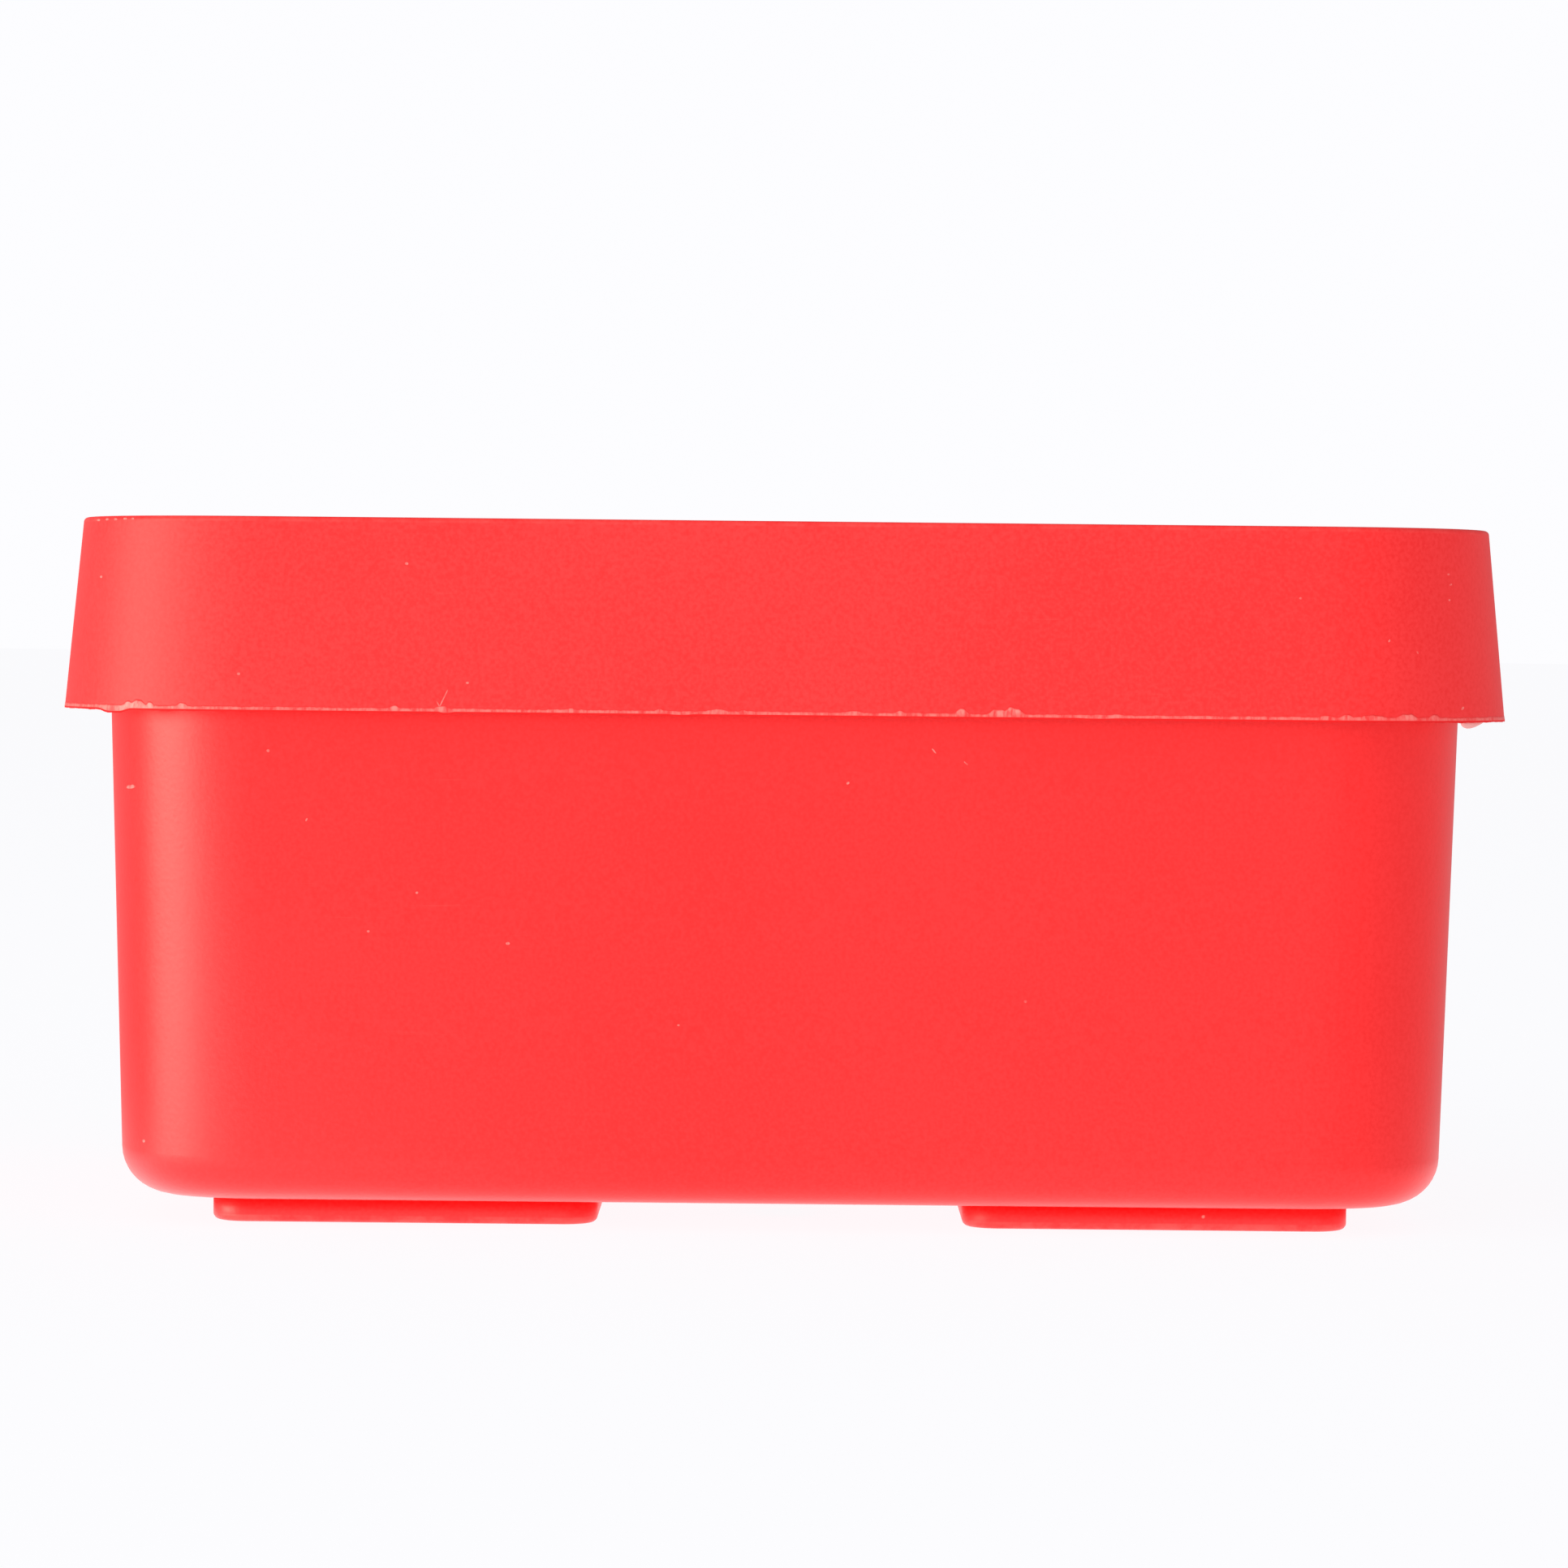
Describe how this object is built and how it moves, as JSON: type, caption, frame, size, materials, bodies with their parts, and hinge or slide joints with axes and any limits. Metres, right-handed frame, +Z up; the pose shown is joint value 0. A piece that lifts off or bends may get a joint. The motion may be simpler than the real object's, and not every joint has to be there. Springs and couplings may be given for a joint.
{
  "type": "milk bottle crate",
  "caption": "Open plastic crate with drafted closed walls, a deep flared rim collar, hollow feet and lift-out dividers that part it into bottle cells.",
  "frame": {"origin": "centre of the footprint, on the plane that the four feet stand on", "axes": "+Z up, +X along the long side, -Y towards the front"},
  "size_m": [0.2864, 0.2, 0.1389],
  "materials": {
    "tub_plastic": "red polypropylene, satin as moulded",
    "collar_plastic": "red polypropylene, satin as moulded, with flash on the skirt's lower edge",
    "divider_plastic": "red polypropylene, satin as moulded",
    "foot_plastic": "red polypropylene, scuffed where it stands"
  },
  "bodies": {
    "crate": {"crate_tub": "tub_plastic", "rim_collar": "collar_plastic", "foot_front_left": "foot_plastic", "foot_front_right": "foot_plastic", "foot_rear_left": "foot_plastic", "foot_rear_right": "foot_plastic"},
    "divider_long": {"divider_long": "divider_plastic"},
    "divider_cross_left": {"divider_cross_left": "divider_plastic"},
    "divider_cross_right": {"divider_cross_right": "divider_plastic"}
  },
  "joints": [
    {"name": "divider_long_lift", "type": "slide", "parent": "crate", "child": "divider_long", "axis": [0, 0, 1], "range_m": [0, 0.136]},
    {"name": "divider_cross_left_lift", "type": "slide", "parent": "divider_long", "child": "divider_cross_left", "axis": [0, 0, 1], "range_m": [0, 0.136]},
    {"name": "divider_cross_right_lift", "type": "slide", "parent": "divider_long", "child": "divider_cross_right", "axis": [0, 0, 1], "range_m": [0, 0.136]}
  ]
}
